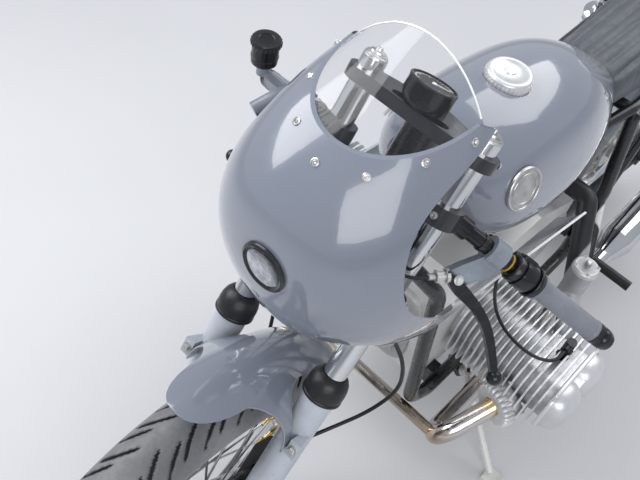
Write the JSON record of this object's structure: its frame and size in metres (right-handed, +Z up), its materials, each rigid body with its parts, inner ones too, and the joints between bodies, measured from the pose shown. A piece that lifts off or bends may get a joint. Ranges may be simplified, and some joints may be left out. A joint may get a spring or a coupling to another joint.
{
  "type": "cafe racer motorcycle",
  "caption": "Cafe racer motorcycle with a finned flat twin engine, clip-on bars, a half fairing with a clear screen, wire wheels and a side stand.",
  "frame": {"origin": "on the floor under the middle of the parked machine, which leans 10 degrees to its left on its stand", "axes": "+X forward, +Y to its left, +Z up"},
  "size_m": [2.108, 0.7976, 1.1354],
  "materials": {
    "white_frame": "gloss",
    "body_paint": "gloss",
    "cast_alloy": "satin",
    "polished_alloy": "polished",
    "chrome": "polished",
    "steel": "brushed",
    "black_paint": "satin",
    "black_plastic": "matte",
    "rubber": "matte",
    "grip_rubber": "matte",
    "tyre": "matte",
    "seat_cover": "satin",
    "clear_screen": "clear",
    "lamp_glass": "clear",
    "red_lens": "gloss"
  },
  "bodies": {
    "chassis": {"frame": "white_frame", "engine_block": "cast_alloy", "cylinders": "cast_alloy", "cylinder_heads": "cast_alloy", "rocker_covers": "polished_alloy", "carburettors": "cast_alloy", "plug_caps": "black_plastic", "plug_leads": "rubber", "ignition_coil": "black_plastic", "exhaust_headers": "chrome", "exhaust_nuts": "polished_alloy", "silencers": "chrome", "air_box": "black_plastic", "fuel_tank": "body_paint", "fuel_cap": "chrome", "tank_badges": "chrome", "seat": "seat_cover", "tail_cowl": "body_paint", "tail_lamp": "red_lens", "rear_fender": "body_paint", "fairing": "body_paint", "windscreen": "clear_screen", "headlamp": "lamp_glass", "swing_arm": "white_frame", "shocks": "black_paint", "footrests": "rubber"},
    "steering": {"lower_yoke": "black_paint", "upper_yoke": "black_paint", "gauge": "black_plastic", "fork_tubes": "chrome", "fork_legs": "polished_alloy", "fork_boots": "rubber", "front_axle": "steel", "front_fender": "body_paint", "brake_calipers": "black_paint", "clip_on_bars": "black_paint", "grips": "grip_rubber", "bar_ends": "steel", "switch_blocks": "black_plastic", "control_levers": "black_paint", "brake_reservoir": "black_plastic", "clutch_cable": "rubber", "brake_hoses": "rubber"},
    "front_wheel": {"front_tyre": "tyre", "front_rim": "polished_alloy", "front_hub": "polished_alloy", "front_brake_discs": "steel"},
    "rear_wheel": {"rear_tyre": "tyre", "rear_rim": "polished_alloy", "rear_hub": "polished_alloy"},
    "side_stand": {"side_stand": "white_frame"}
  },
  "joints": [
    {"name": "steering_turn", "type": "hinge", "parent": "chassis", "child": "steering", "pos_m": [0.35823, 0.06632, 0.86293], "axis": [-0.4695, 0.1533, 0.8695], "range_deg": [-22, 22]},
    {"name": "front_wheel_spin", "type": "hinge", "parent": "steering", "child": "front_wheel", "pos_m": [0.729, -0.02924, 0.32094], "axis": [0, 0.9848, -0.1736], "continuous": true},
    {"name": "rear_wheel_spin", "type": "hinge", "parent": "chassis", "child": "rear_wheel", "pos_m": [-0.736, -0.03046, 0.31405], "axis": [0, 0.9848, -0.1736], "continuous": true},
    {"name": "side_stand_fold", "type": "hinge", "parent": "chassis", "child": "side_stand", "pos_m": [0.045, 0.10407, 0.16137], "axis": [-0.1072, 0.7349, 0.6697], "range_deg": [0, 95]}
  ]
}
